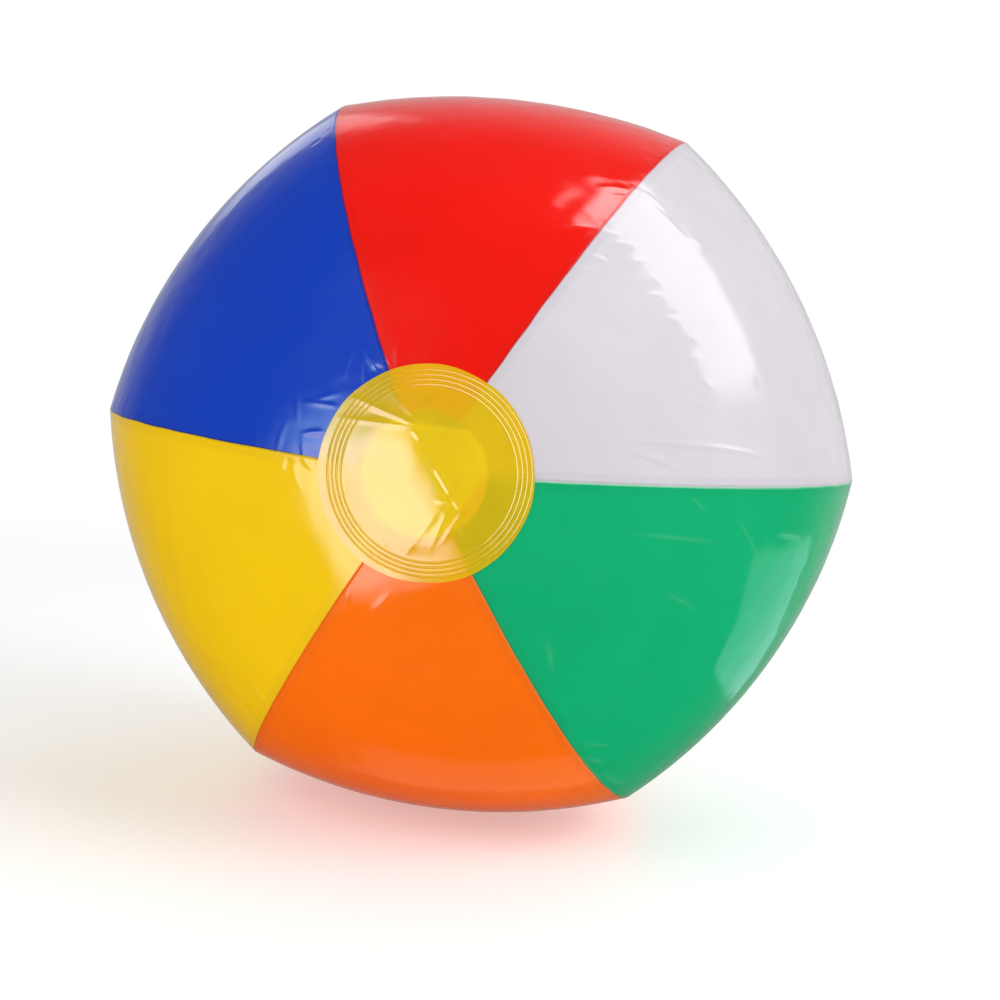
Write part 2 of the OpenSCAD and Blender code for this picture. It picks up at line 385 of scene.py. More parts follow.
def panel_columns(k, t):
    """Longitudes of a panel's columns at angle t, how deep each is sunk under its neighbour, and the way from
    the free edge and from the nearest seam."""
    share = np.linspace(0, 1, PANEL_COLUMNS)
    share = share - SEAM_CROWDING * np.sin(2 * np.pi * share) / (2 * np.pi)
    ring = ring_r(t)[:, None]
    start, end = seam_line(k, t)[:, None], seam_line(k + 1, t)[:, None]
    down = np.arange(1, LAP_STEPS + 1) / LAP_STEPS
    step = (1 - down) * LAP_STEP
    sunk = smooth_step(0, 1, down) * (FILM + WELD_GAP)
    lap = np.arange(1, LAP_COLUMNS + 1) / LAP_COLUMNS * LAP
    main = start + (end - LAP_STEP / ring - start) * share
    lon = np.concatenate([main, end - step / ring, end + lap / ring], 1)
    sink = np.concatenate([np.zeros(PANEL_COLUMNS), sunk, np.full(LAP_COLUMNS, FILM + WELD_GAP)])
    from_edge = (lon - start) * ring
    from_seam = np.minimum(from_edge, np.abs(end - lon) * ring)
    return lon, np.broadcast_to(sink, lon.shape), from_edge, from_seam


def make_panel(k, name, material):
    """One closed shell of film. Its vertex attributes mark the weld bands, the free edge and the highlight
    painted along the folds.
    """
    t = np.linspace(TIP_ANGLE, np.pi - TIP_ANGLE, PANEL_ROWS)
    lon, sink, from_edge, from_seam = panel_columns(k, t)
    t = np.broadcast_to(t[:, None], lon.shape)
    outer = skin(lon, t, -sink)
    inner = outer * (1 - FILM / np.linalg.norm(outer, axis=-1, keepdims=True))
    marks = {
        "weld": 1 - smooth_step(WELD_CORE * WELD_BAND, WELD_BAND, from_seam),
        "edge": 1 - smooth_step(EDGE_CORE * EDGE_BAND, EDGE_BAND, from_edge),
        # crease: where a highlight is painted along the folds
        "crease": painted_fold_highlight(lon, t),
    }
    rows = thinned(lon.shape[0], INNER_STEP)
    columns = thinned(lon.shape[1], INNER_STEP, keep_last=1 + LAP_STEPS + LAP_COLUMNS)
    vertices, faces = shell(outer, inner, rows, columns)
    for key, values in marks.items():
        marks[key] = np.concatenate([values.ravel(), values[np.ix_(rows, columns)].ravel()])
    piece = add_piece("film_" + name, vertices, faces, material, marks)
    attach(piece, "ball")
    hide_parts("panel_" + name)


# ---- end discs

DISC_SEGMENTS = 300
DISC_RINGS = (90, 90)
RIB_ZONE = 24.5 * MM
RIM_WOBBLE = 0.28 * MM
RIM_WAVES = [(3, 1, 1.0), (7, 2, 0.6), (12, 0, 0.4)]
RIB_RADII = [26 * MM, 27.4 * MM, 28.8 * MM, 30.2 * MM]
RIB_SHIFT = (1.2 * MM, 0.4 * MM)
RIB_WIDTH = 0.26 * MM
RIB_HEIGHT = 0.15 * MM
# Inside the weld the disc's film is free, a little lifted and uneven
FREE_ZONE = (20 * MM, 26 * MM)
FREE_LIFT = 0.12 * MM
UNEVEN_SLOPE = 0.018
UNEVEN_LENGTHS = (8 * MM, 20 * MM)
UNEVEN_WAVES = 10
FOLD_LIMIT = (30 * MM, 32 * MM)
FOLD_RISE = (-0.06, 0.16)
FOLD_FALL = (0.45, 1.0)
FOLD_SHARPNESS = 1.3
# The front disc's hard crease runs between two crumpled points, and folds run out from both. A fold is
# (start, end, width, height) in millimetres, its start and end as x and z.
CREASE_TOP = (-3.9, 13.0)
CREASE_FOOT = (9.8, -7.0)
CREASE_HEIGHT = 0.55 * MM
CREASE_REACH = 8 * MM
CREASE_BACK = 30 * MM
CREASE_RISE = (-0.5, 0.15)
CREASE_FALL = (0.9, 1.5)
DISC_FOLDS = [
    # from the upper point to the left rim and beyond
    ((-4, 14), (-30, 22), 0.8, 0.24), ((-6, 13.4), (-33, 13.6), 0.55, 0.20),
    ((-8, 14.6), (-26, 17.2), 0.9, -0.10), ((-3.5, 15.5), (-14, 24), 0.8, 0.12),
    ((-3, 14), (-1, 24), 0.9, 0.08), ((-3.4, 12), (2, 10.5), 0.5, 0.12),
    ((-4.6, 12.4), (-1.6, 9.4), 0.4, 0.14),
    # along the lower part of the crease, and from its lower point to the bottom rim
    ((2.4, 1.6), (8.4, -6.4), 0.45, -0.10), ((3.6, 1.2), (8.8, -5.2), 0.35, 0.12),
    ((8.9, -6.7), (3.6, -7.2), 0.4, 0.16), ((9.4, -6.4), (12.6, -9.6), 0.5, 0.14),
    ((12.6, -8.6), (6.2, -21), 0.55, 0.13), ((5, -11), (-6, -28), 0.8, 0.09),
    ((8.2, -9), (3, -24), 0.7, 0.08), ((12, -12), (16, -25), 0.8, 0.05),
    ((-9, -20), (-14, -31), 0.7, 0.12), ((-18, -14), (-28, -22), 0.8, 0.10),
]
REAR_FOLDS = 16
REAR_FOLD_START = 17.6
REAR_FOLD_REACH = (23, 29)
REAR_FOLD_WIDTHS = (0.5, 0.9)
REAR_FOLD_HEIGHTS = (0.05, 0.12)


def fold_field(x, z, start, end, width, height):
    """A fold from start to end in the disc's plane: sharp at its start and fading out towards its end."""
    ax, az = start[0] * MM, start[1] * MM
    dx, dz = end[0] * MM - ax, end[1] * MM - az
    length = math.hypot(dx, dz)
    along = ((x - ax) * dx + (z - az) * dz) / length ** 2
    across = np.abs((z - az) * dx - (x - ax) * dz) / length
    window = smooth_step(*FOLD_RISE, along) * (1 - smooth_step(*FOLD_FALL, along))
    return height * MM * np.exp(-(across / (width * MM)) ** FOLD_SHARPNESS) * window


def hard_crease(x, z):
    """The film stands up like a tent along a straight line, steeper on the upper right side of it."""
    ax, az = CREASE_TOP[0] * MM, CREASE_TOP[1] * MM
    dx, dz = CREASE_FOOT[0] * MM - ax, CREASE_FOOT[1] * MM - az
    length = math.hypot(dx, dz)
    along = ((x - ax) * dx + (z - az) * dz) / length ** 2
    side = ((z - az) * dx - (x - ax) * dz) / length
    window = smooth_step(*CREASE_RISE, along) * (1 - smooth_step(*CREASE_FALL, along))
    slopes = np.where(side > 0, np.exp(-side / CREASE_REACH), np.exp(side / CREASE_BACK))
    return CREASE_HEIGHT * window * slopes


def rear_folds():
    """Short folds that run out from the valve's flange."""
    rng = np.random.default_rng(SEEDS["rear folds"])
    found = []
    for i in range(REAR_FOLDS):
        angle = 2 * math.pi * (i + rng.uniform(-0.3, 0.3)) / REAR_FOLDS
        reach = rng.uniform(*REAR_FOLD_REACH)
        start = (REAR_FOLD_START * math.cos(angle), REAR_FOLD_START * math.sin(angle))
        turn = angle + rng.uniform(-0.15, 0.15)
        found.append((start, (reach * math.cos(turn), reach * math.sin(turn)), rng.uniform(*REAR_FOLD_WIDTHS),
                      rng.choice([-1, 1]) * rng.uniform(*REAR_FOLD_HEIGHTS)))
    return found


def ribs(x, z):
    """Fine weld rings, a little off the disc's centre."""
    radius = np.hypot(x - RIB_SHIFT[0], z - RIB_SHIFT[1])
    return sum(RIB_HEIGHT * np.exp(-((radius - r) / RIB_WIDTH) ** 2) for r in RIB_RADII)


def disc_relief(x, z, folds, creased):
    """Height of a disc's film over the smooth ball."""
    radius = np.hypot(x, z)
    free = 1 - smooth_step(*FREE_ZONE, radius)
    points = np.stack([x, z, 0 * x], -1)
    uneven = FREE_LIFT + UNEVEN_SLOPE * waves(points, UNEVEN_LENGTHS, UNEVEN_WAVES, SEEDS["discs"])
    total = free * (uneven + (hard_crease(x, z) if creased else 0))
    inside_rim = 1 - smooth_step(*FOLD_LIMIT, radius)
    total = total + ribs(x, z) + inside_rim * sum(fold_field(x, z, *fold) for fold in folds)
    return np.maximum(total, 0)


def disc_grid(hole_r):
    """Longitudes and radii of a disc's points. Its rings lie closer together among the ribs."""
    lon = np.linspace(0, 2 * np.pi, DISC_SEGMENTS + 1)
    wobble = sum(share * np.sin(number * lon + phase) for number, phase, share in RIM_WAVES)
    rim = DISC_R + RIM_WOBBLE * wobble / 2
    middle = np.linspace(hole_r, RIB_ZONE, DISC_RINGS[0])[:-1, None] + 0 * lon
    outside = RIB_ZONE + (rim - RIB_ZONE) * np.linspace(0, 1, DISC_RINGS[1])[:, None]
    radius = np.concatenate([middle, outside])
    return np.broadcast_to(lon, radius.shape), radius


def make_disc(name, node, front, hole_r, folds, material):
    """A round film over the panels' tips, with an uneven cut edge. It casts no shadow on the tips."""
    lon, radius = disc_grid(hole_r)
    t = angle_at(radius)
    lift = DISC_LIFT + disc_relief(radius * np.sin(lon), radius * np.cos(lon), folds, front)
    r = base_r(t) - dip(lon, t) + lift
    flip = [1, 1, 1] if front else [1, -1, 1]
    inner, outer = on_ball(lon, t, r) * flip, on_ball(lon, t, r + DISC_FILM) * flip
    rows, columns = thinned(radius.shape[0], 2), thinned(radius.shape[1], 2)
    vertices, faces = shell(outer, inner, rows, columns, "S" if front else "NS")
    piece = add_piece(name, vertices, faces, material, merge=True)
    piece.visible_shadow = False
    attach(piece, "ball")
    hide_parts(node)


# ---- valve, drawn about the Y axis with y measured outwards from the edge of the flange's opening

VALVE_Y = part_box("valve_skirt")[1].y
VALVE_SEGMENTS = 96
HEAD_T = 2.5 * MM
HEAD_R = 5.6 * MM
STEM_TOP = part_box("valve_stem")[1].y - VALVE_Y
STEM_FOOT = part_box("valve_stem")[0].y - VALVE_Y
STEM_R = 4.75 * MM
FOOT_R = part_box("valve_stem")[1].x
FOOT_T = 0.8 * MM
BORE_R = 2.6 * MM
MOUTH_R = 2.8 * MM
MOUTH_LEN = 4.8 * MM
STUB_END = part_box("valve_plug")[0].y - VALVE_Y
WELL_R = 11.5 * MM
FLANGE_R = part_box("valve_flange")[1].x
FLANGE_T = 0.8 * MM
FLANGE_LIFT = DISC_FILM + 2 * WELD_GAP
SKIRT_WALL = 0.5 * MM
FLAP_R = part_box("check_flap")[1].x
FLAP_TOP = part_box("check_flap")[1].y - VALVE_Y
FLAP_T = 0.6 * MM
FOLD_Z = 9 * MM
STRAP_W = 3 * MM
STRAP_T = 0.7 * MM
STRAP_SQUARENESS = 0.35
FLANGE_RIBS = [13.4 * MM, 14.6 * MM, 15.8 * MM]
FLANGE_RIB_WIDTH = 0.3 * MM
FLANGE_RIB_HEIGHT = 0.16 * MM
FLANGE_RIM_DROP = 0.45 * MM
FLANGE_RIM_BAND = 0.7 * MM
FLANGE_LIP_HEIGHT = 0.2 * MM
FLANGE_LIP_WIDTH = 0.5 * MM
FLANGE_LIP_INSET = 0.6 * MM
SKIRT_END_GAP = 0.3 * MM
SKIRT_BEND_SHARE = 1.2
SKIRT_POINTS = 24
SKIRT_PLEAT = 0.12 * MM
SKIRT_PLEAT_PITCH = 0.9 * MM
SKIRT_PLEAT_RISE = (1.5 * MM, 4 * MM)
GROOVE = 0.35 * MM
TETHER_POINTS = 10
FOLD_POINTS = 12
FOLD_TRIM = 0.2


def rounded(corners, steps=5):
    """An outline with its corners rounded: each corner is (radius about the axis, y, rounding radius)."""
    outline = []
    count = len(corners)
    for i, (x, y, rounding) in enumerate(corners):
        here = np.array([x, y])
        if rounding == 0:
            outline.append(here)
            continue
        before = np.array(corners[i - 1][:2]) - here
        after = np.array(corners[(i + 1) % count][:2]) - here
        room = 0.5 * min(np.linalg.norm(before), np.linalg.norm(after))
        reach = min(rounding, room)
        a = here + before / np.linalg.norm(before) * reach
        b = here + after / np.linalg.norm(after) * reach
        for s in np.linspace(0, 1, steps):
            outline.append((1 - s) ** 2 * a + 2 * s * (1 - s) * here + s ** 2 * b)
    return np.array(outline)


def lathe(outline, y0=0.0):
    """Vertices and faces of a closed outline of (radius, y) turned about the Y axis and moved out by y0."""
    turn = np.linspace(0, 2 * np.pi, VALVE_SEGMENTS, endpoint=False)
    radius, y = outline[:, 0][:, None], outline[:, 1][:, None]
    points = np.stack([radius * np.sin(turn), y + y0 + 0 * turn, radius * np.cos(turn)], -1)
    rows, columns = points.shape[:2]
    row, column = np.meshgrid(np.arange(rows), np.arange(columns), indexing="ij")
    down, right = (row + 1) % rows, (column + 1) % columns
    faces = np.stack([row * columns + column, row * columns + right,
                      down * columns + right, down * columns + column], -1)
    return points.reshape(-1, 3), faces.reshape(-1, 4).tolist()


def squarish(v):
    """Turns a sine or cosine into that of a square with rounded corners."""
    return np.sign(v) * np.abs(v) ** STRAP_SQUARENESS


def bar(path, width, thickness, y0=0.0, rows=7):
    """Vertices and faces of a flat strap with rounded edges that follows a path of (z, y) points."""
    path = np.asarray(path, float)
    along = np.gradient(path, axis=0)
    along /= np.linalg.norm(along, axis=1, keepdims=True)
    side = np.stack([-along[:, 1], along[:, 0]], -1)
    angle = np.linspace(0, 2 * np.pi, 4 * rows, endpoint=False)
    across = squarish(np.cos(angle)) * width / 2
    up = squarish(np.sin(angle)) * thickness / 2
    points = np.zeros((len(path), len(angle), 3))
    points[..., 0] = across
    points[..., 2] = path[:, 0][:, None] + side[:, 0][:, None] * up
    points[..., 1] = path[:, 1][:, None] + side[:, 1][:, None] * up + y0
    caps = [end.mean(1, keepdims=True) + 0 * end for end in (points[:1], points[-1:])]
    points = np.concatenate([caps[0], points, caps[1]])
    faces = grid_faces(points.shape[0], points.shape[1], 0, False, wrap=True)
    return points.reshape(-1, 3), faces


def joined(*shapes):
    """One set of vertices and faces from several closed shapes."""
    vertices, faces, count = [], [], 0
    for v, f in shapes:
        vertices.append(v)
        faces += [[i + count for i in face] for face in f]
        count += len(v)
    return np.concatenate(vertices), faces


def skin_profile(r0, r1, lift, count):
    """Outline points of a skin round the rear pole, as (radius, y)."""
    radius = np.linspace(r0, r1, count)
    t = angle_at(radius, lift)
    return np.stack([(base_r(t) + lift) * np.sin(t), (base_r(t) + lift) * np.cos(t)], -1)


def finish_piece(name, vertices, faces, material, body, *nodes):
    """A rigid moulding of the valve that rides on a body and stands for its CAD nodes."""
    piece = add_piece(name, vertices, faces, material, merge=True, sharp=MOULDING_SHARP)
    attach(piece, body)
    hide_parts(*nodes)


def make_flange(material):
    """Flat welded ring with pressed rings and a soft rolled rim."""
    low = skin_profile(WELL_R, FLANGE_R, FLANGE_LIFT, 20)
    high = skin_profile(FLANGE_R, WELL_R, FLANGE_LIFT + FLANGE_T, 120)
    press = sum(np.exp(-((high[:, 0] - r) / FLANGE_RIB_WIDTH) ** 2) for r in FLANGE_RIBS)
    rim = smooth_step(0, FLANGE_RIM_BAND, FLANGE_R - high[:, 0])
    lip = np.exp(-((high[:, 0] - WELL_R - FLANGE_LIP_INSET) / FLANGE_LIP_WIDTH) ** 2)
    high[:, 1] += FLANGE_RIB_HEIGHT * press - FLANGE_RIM_DROP * (1 - rim) + FLANGE_LIP_HEIGHT * lip
    vertices, faces = lathe(np.concatenate([low, high]))
    finish_piece("valve_flange_film", vertices, faces, material, "ball", "valve_flange")


def make_skirt(material):
    """The skirt folded inwards as a cup."""
    rim, end = WELL_R - WELD_GAP, FOOT_R + SKIRT_END_GAP
    drop = -STEM_FOOT - FOOT_T
    bend = WELL_R - WELD_GAP - FOOT_R - SKIRT_END_GAP
    straight = drop - bend * SKIRT_BEND_SHARE
    turn = np.radians(np.linspace(0, 90, SKIRT_POINTS))
    wall = np.linspace(0, straight, SKIRT_POINTS)[:-1]
    outer = np.stack([rim - bend * (1 - np.cos(turn)), -straight - (drop - straight) * np.sin(turn)], -1)
    inner = np.stack([rim - SKIRT_WALL - (bend - SKIRT_WALL) * (1 - np.cos(turn)),
                      -straight - (drop - straight - SKIRT_WALL) * np.sin(turn)], -1)
    fall = np.stack([np.full(len(wall), rim), -wall], -1)
    rise = np.stack([np.full(len(wall), rim - SKIRT_WALL), -wall], -1)
    outline = np.concatenate([fall, outer, inner[::-1], rise[::-1]])
    pleats = SKIRT_PLEAT * np.sin(outline[:, 1] / SKIRT_PLEAT_PITCH)
    pleats = pleats * smooth_step(*SKIRT_PLEAT_RISE, -outline[:, 1])
    outline[:, 0] += pleats * smooth_step(end, end + 2 * MM, outline[:, 0])
    vertices, faces = lathe(outline, VALVE_Y)
    piece = add_piece("valve_skirt_film", vertices, faces, material, merge=True)
    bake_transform(piece)
    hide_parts("valve_skirt")


def make_stem(material):
    """Moulded tube with a foot, a thick lip and two grip rings."""
    step = STEM_TOP - MOUTH_LEN
    mid = (STEM_TOP + STEM_FOOT) / 2
    waist = STEM_R - GROOVE
    corners = [
        (BORE_R, STEM_FOOT, 0.1 * MM), (FOOT_R, STEM_FOOT, 0.25 * MM), (FOOT_R, STEM_FOOT + FOOT_T, 0.3 * MM),
        (waist, STEM_FOOT + FOOT_T, 0.5 * MM), (waist, mid - 1.2 * MM, 0.3 * MM),
        (STEM_R, mid - 0.8 * MM, 0.2 * MM), (STEM_R, mid, 0.2 * MM), (waist, mid + 0.4 * MM, 0.3 * MM),
        (waist, STEM_TOP - 2.4 * MM, 0.3 * MM), (STEM_R, STEM_TOP - 1.9 * MM, 0.3 * MM),
        (STEM_R, STEM_TOP, 0.45 * MM), (MOUTH_R, STEM_TOP, 0.2 * MM), (MOUTH_R, step, 0.1 * MM),
        (BORE_R, step, 0.1 * MM),
    ]
    vertices, faces = lathe(rounded(corners), VALVE_Y)
    finish_piece("valve_stem_moulding", vertices, faces, material, "stem", "valve_stem")


def make_plug(material):
    """Plug with a rolled head, a dished top, a tapered stub and a finger tab."""
    base, stub_r = -HEAD_T, MOUTH_R - 0.05 * MM
    corners = [
        (0, STUB_END, 0), (1.7 * MM, STUB_END, 0.35 * MM), (2.2 * MM, STUB_END + 2.2 * MM, 0.2 * MM),
        (stub_r, base - 0.2 * MM, 0.2 * MM), (stub_r, base, 0.05 * MM), (HEAD_R, base, 0.3 * MM),
        (HEAD_R, -0.2 * MM, 0.6 * MM), (HEAD_R - 1.2 * MM, 0, 0.3 * MM),
        (HEAD_R - 1.9 * MM, -0.5 * MM, 0.4 * MM), (0.8 * MM, -0.6 * MM, 0.4 * MM), (0, -0.3 * MM, 0),
    ]
    tab = [(1.0 * MM - HEAD_R - s * 2.6 * MM, base + 0.45 * MM + 0.25 * MM * s * s)
           for s in np.linspace(0, 1, 8)]
    body = lathe(rounded(corners), VALVE_Y)
    grip = bar(tab, STRAP_W, STRAP_T, VALVE_Y)
    vertices, faces = joined(body, grip)
    finish_piece("valve_plug_moulding", vertices, faces, material, "plug", "valve_plug")


def make_tether(material):
    """Strap that leaves the stem's side, folds back at the fold line and joins the plug's head."""
    low, high = STEM_TOP - 0.5 * MM, -HEAD_T + 0.4 * MM
    mid, half = (low + high) / 2, (high - low) / 2
    out = [(s, low) for s in np.linspace(STEM_R - 0.2 * MM, FOLD_Z, TETHER_POINTS)]
    fold = [(FOLD_Z + half * math.sin(a), mid - half * math.cos(a))
            for a in np.linspace(FOLD_TRIM, math.pi - FOLD_TRIM, FOLD_POINTS)]
    back = [(s, high) for s in np.linspace(FOLD_Z, HEAD_R - 0.2 * MM, TETHER_POINTS)]
    vertices, faces = bar(out + fold + back, STRAP_W, STRAP_T, VALVE_Y)
    piece = add_piece("plug_tether_strap", vertices, faces, material, merge=True, sharp=MOULDING_SHARP)
    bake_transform(piece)
    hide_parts("plug_tether")


def make_flap(material):
    """Thin round flap with a hinge tab."""
    corners = [(0, FLAP_TOP - FLAP_T, 0), (FLAP_R, FLAP_TOP - FLAP_T, 0.2 * MM), (FLAP_R, FLAP_TOP, 0.2 * MM),
               (0, FLAP_TOP, 0)]
    tab = [(s, FLAP_TOP - FLAP_T / 2) for s in np.linspace(FLAP_R / 2, FLAP_R + 1 * MM, 6)]
    vertices, faces = joined(lathe(rounded(corners), VALVE_Y), bar(tab, STRAP_W, FLAP_T, VALVE_Y))
    finish_piece("check_flap_film", vertices, faces, material, "flap", "check_flap")


# ---- materials

FILM_COLOURS = {
    "red": (0.83, 0.007, 0.002), "white": (0.66, 0.61, 0.66), "green": (0.004, 0.41, 0.16),
    "orange": (0.97, 0.160, 0.002), "yellow": (0.90, 0.56, 0.003), "blue": (0.005, 0.048, 0.48),
}
# A panel's free edge takes a tone between its own and that of the film under it
EDGE_COLOURS = {
    "red": (0.05, 0.005, 0.06), "white": (0.45, 0.02, 0.03), "green": (0.45, 0.80, 0.60),
    "orange": (0.60, 0.25, 0.08), "yellow": (0.80, 0.22, 0.01), "blue": (0.006, 0.012, 0.10),
}
DISC_COLOUR = (0.88, 0.61, 0.008)
DISC_TINT = (1.0, 0.96, 0.12)
DISC_CLEAR_SHARE = 0.48
DISC_GLOSS = (0.85, 0.70, 1.0)
DISC_MOTTLING = (0.94, 1.04)
VINYL_COLOUR = (0.80, 0.86, 0.90)
VINYL_TINT = (0.93, 0.97, 1.0)
VINYL_CLEAR_SHARE = 0.4
VINYL_MOTTLING = (0.95, 1.05)
FILM_MOTTLING = (0.975, 1.025)
FILM_ROUGHNESS = (0.075, 0.115)
WELD_TONE = 0.84
WELD_SHARE = 0.35
WELD_ROUGHNESS = 0.05
EDGE_SHARE = 0.85
# Share of the painted highlight that makes the folds paler, as if they caught the light
FOLD_PAINTED_HIGHLIGHT = 0.16
PALE_TONE = 0.75
PALE_SHARE = 0.3
SCUFF_ROUGHNESS = 0.05
SCUFF_STRETCH = (1, 14, 3)


def math_of(tree, operation, a, b):
    """A math node's result. a and b are sockets or numbers."""
    node = tree.nodes.new("ShaderNodeMath")
    node.operation = operation
    for socket, item in zip(node.inputs, (a, b)):
        if isinstance(item, (int, float)):
            socket.default_value = item
        else:
            tree.links.new(item, socket)
    return node.outputs[0]


def range_of(tree, source, start, end, low=0.0, high=1.0, smooth=True):
    """Maps a socket from start..end to low..high, as a smooth step or straight."""
    node = tree.nodes.new("ShaderNodeMapRange")
    node.interpolation_type = "SMOOTHSTEP" if smooth else "LINEAR"
    for key, value in (("From Min", start), ("From Max", end), ("To Min", low), ("To Max", high)):
        node.inputs[key].default_value = value
    tree.links.new(source, node.inputs["Value"])
    return node.outputs["Result"]


class Nodes:
    """Short hand for building a material's nodes."""

    def __init__(self, name):
        self.material = bpy.data.materials.new(name)
        self.material.use_nodes = True
        self.tree = self.material.node_tree
        self.tree.nodes.clear()
        self.output = self.tree.nodes.new("ShaderNodeOutputMaterial")
        self.place = self.tree.nodes.new("ShaderNodeTexCoord").outputs["Object"]

    def add(self, kind, **settings):
        """A shader node with its settings."""
        node = self.tree.nodes.new("ShaderNode" + kind)
        for key, value in settings.items():
            setattr(node, key, value)
        return node

    def link(self, source, target):
        self.tree.links.new(source, target)

    def noise(self, scale, detail=2.0, stretch=None):
        """Noise over the piece's own coordinates; scale is in features per metre."""
        node = self.add("TexNoise")
        node.inputs["Scale"].default_value = scale
        node.inputs["Detail"].default_value = detail
        place = self.place
        if stretch:
            mapping = self.add("Mapping")
            mapping.inputs["Scale"].default_value = stretch
            self.link(place, mapping.inputs["Vector"])
            place = mapping.outputs["Vector"]
        self.link(place, node.inputs["Vector"])
        return node.outputs["Fac"]

    def spread(self, source, low, high, start=0.3, end=0.7):
        """Maps a value from start..end to low..high. Noise lies mostly between 0.3 and 0.7."""
        return range_of(self.tree, source, start, end, low, high, smooth=False)

    def mix(self, factor, a, b):
        """Colour mix. a and b are sockets or colours."""
        node = self.add("Mix", data_type="RGBA")
        for key, value in (("A", a), ("B", b)):
            socket = [s for s in node.inputs if s.name == key and s.type == "RGBA"][0]
            if isinstance(value, tuple):
                socket.default_value = (*value, 1)
            else:
                self.link(value, socket)
        self.link(factor, node.inputs["Factor"])
        return [s for s in node.outputs if s.type == "RGBA"][0]

    def value(self, operation, a, b):
        return math_of(self.tree, operation, a, b)

    def attribute(self, name):
        """A vertex attribute of the piece's mesh."""
        return self.add("Attribute", attribute_name=name).outputs["Fac"]

    def bump(self, height, distance, strength=1.0, below=None):
        """A normal bent by a height field, over another bump if below is given."""
        node = self.add("Bump")
        node.inputs["Distance"].default_value = distance
        node.inputs["Strength"].default_value = strength
        self.link(height, node.inputs["Height"])
        if below:
            self.link(below, node.inputs["Normal"])
        return node.outputs["Normal"]

    def principled(self, **sockets):
        """The main shader. Sockets are named with _ for a space, and take a socket, a colour or a number."""
        node = self.add("BsdfPrincipled")
        for key, value in sockets.items():
            socket = node.inputs[key.replace("_", " ")]
            if hasattr(value, "is_linked"):
                self.link(value, socket)
            elif isinstance(value, tuple):
                socket.default_value = (*value, 1)
            else:
                socket.default_value = value
        return node.outputs[0]

    def show(self, shader):
        """Ends the material with this shader."""
        self.link(shader, self.output.inputs["Surface"])
        return self.material


def shade(colour, factor):
    """A colour made darker or lighter."""
    return tuple(min(1.0, c * factor) for c in colour)


def paler(colour):
    """A colour mixed with a pale grey, used for the highlight painted along the folds."""
    return tuple((1 - PALE_SHARE) * c + PALE_SHARE * PALE_TONE for c in colour)


def mottled(n, colour, limits, scale):
    """A colour that varies a little over the surface."""
    return n.mix(n.spread(n.noise(scale, detail=3), 0, 1), shade(colour, limits[0]), shade(colour, limits[1]))


def film_material(name):
    """Glossy film: faint mottling, a duller weld band, a highlight painted along the folds, hairline scuffs
    and a fine skin.
    """
    n = Nodes(name + " film")
    colour = FILM_COLOURS[name]
    weld, edge, crease = n.attribute("weld"), n.attribute("edge"), n.attribute("crease")
    final = mottled(n, colour, FILM_MOTTLING, scale=38)
    final = n.mix(n.value("MULTIPLY", weld, WELD_SHARE), final, shade(colour, WELD_TONE))
    final = n.mix(n.value("MULTIPLY", edge, EDGE_SHARE), final, EDGE_COLOURS[name])
    # Painted highlight: the folds are mixed towards a pale grey
    final = n.mix(n.value("MULTIPLY", crease, FOLD_PAINTED_HIGHLIGHT), final, paler(colour))
    scuffs = n.noise(scale=22, detail=4, stretch=SCUFF_STRETCH)
    scuffs = n.spread(scuffs, 0, SCUFF_ROUGHNESS, start=0.55, end=0.75)
    rough = n.spread(n.noise(scale=120), *FILM_ROUGHNESS)
    rough = n.value("ADD", rough, n.value("MULTIPLY", weld, WELD_ROUGHNESS))
    rough = n.value("ADD", rough, scuffs)
    bump = n.bump(n.noise(scale=240), distance=0.02 * MM, strength=0.5)
    bump = n.bump(n.noise(scale=1500, detail=1), distance=0.002 * MM, strength=0.4, below=bump)
    return n.show(n.principled(Base_Color=final, Roughness=rough, Normal=bump, IOR=1.53))


def see_through(n, shader, tint, share):
    """Lets a share of what is behind a surface show through it. The share is a number or a socket."""
    clear = n.add("BsdfTransparent")
    clear.inputs["Color"].default_value = (*tint, 1)
    mix = n.add("MixShader")
    if isinstance(share, float):
        mix.inputs["Fac"].default_value = share
    else:
        n.link(share, mix.inputs["Fac"])
    n.link(shader, mix.inputs[1])
    n.link(clear.outputs[0], mix.inputs[2])
    return mix.outputs[0]


def disc_material():
    """Translucent yellow film. Its gloss is strong and tinted, as a share of it is lost to the clear part."""
    n = Nodes("disc film")
    colour = mottled(n, DISC_COLOUR, DISC_MOTTLING, scale=60)
    rough = n.spread(n.noise(scale=150, detail=3), 0.06, 0.12)
    bump = n.bump(n.noise(scale=420), distance=0.012 * MM, strength=0.5)
    body = n.principled(Base_Color=colour, Roughness=rough, Normal=bump, IOR=1.75, Specular_IOR_Level=1.0,
                        Specular_Tint=DISC_GLOSS)
    return n.show(see_through(n, body, DISC_TINT, DISC_CLEAR_SHARE))


def vinyl_material():
    """Soft, slightly milky moulded vinyl."""
    n = Nodes("clear vinyl")
    colour = mottled(n, VINYL_COLOUR, VINYL_MOTTLING, scale=180)
    rough = n.spread(n.noise(scale=500, detail=3), 0.12, 0.24)
    bump = n.bump(n.noise(scale=1400), distance=0.01 * MM, strength=0.6)
    body = n.principled(Base_Color=colour, Roughness=rough, Normal=bump, IOR=1.5)
    return n.show(see_through(n, body, VINYL_TINT, VINYL_CLEAR_SHARE))


# ---- studio

CAMERA_AZIMUTH = 7.47
CAMERA_ELEVATION = 3.38
CAMERA_ROLL = 6.04
CAMERA_DISTANCE = 5.003 * MEAN_R
CAMERA_AIM = Vector((8.9 * MM, 0, -14.7 * MM))
CAMERA_LENS = 63.16
CAMERA_NEAR = 0.01


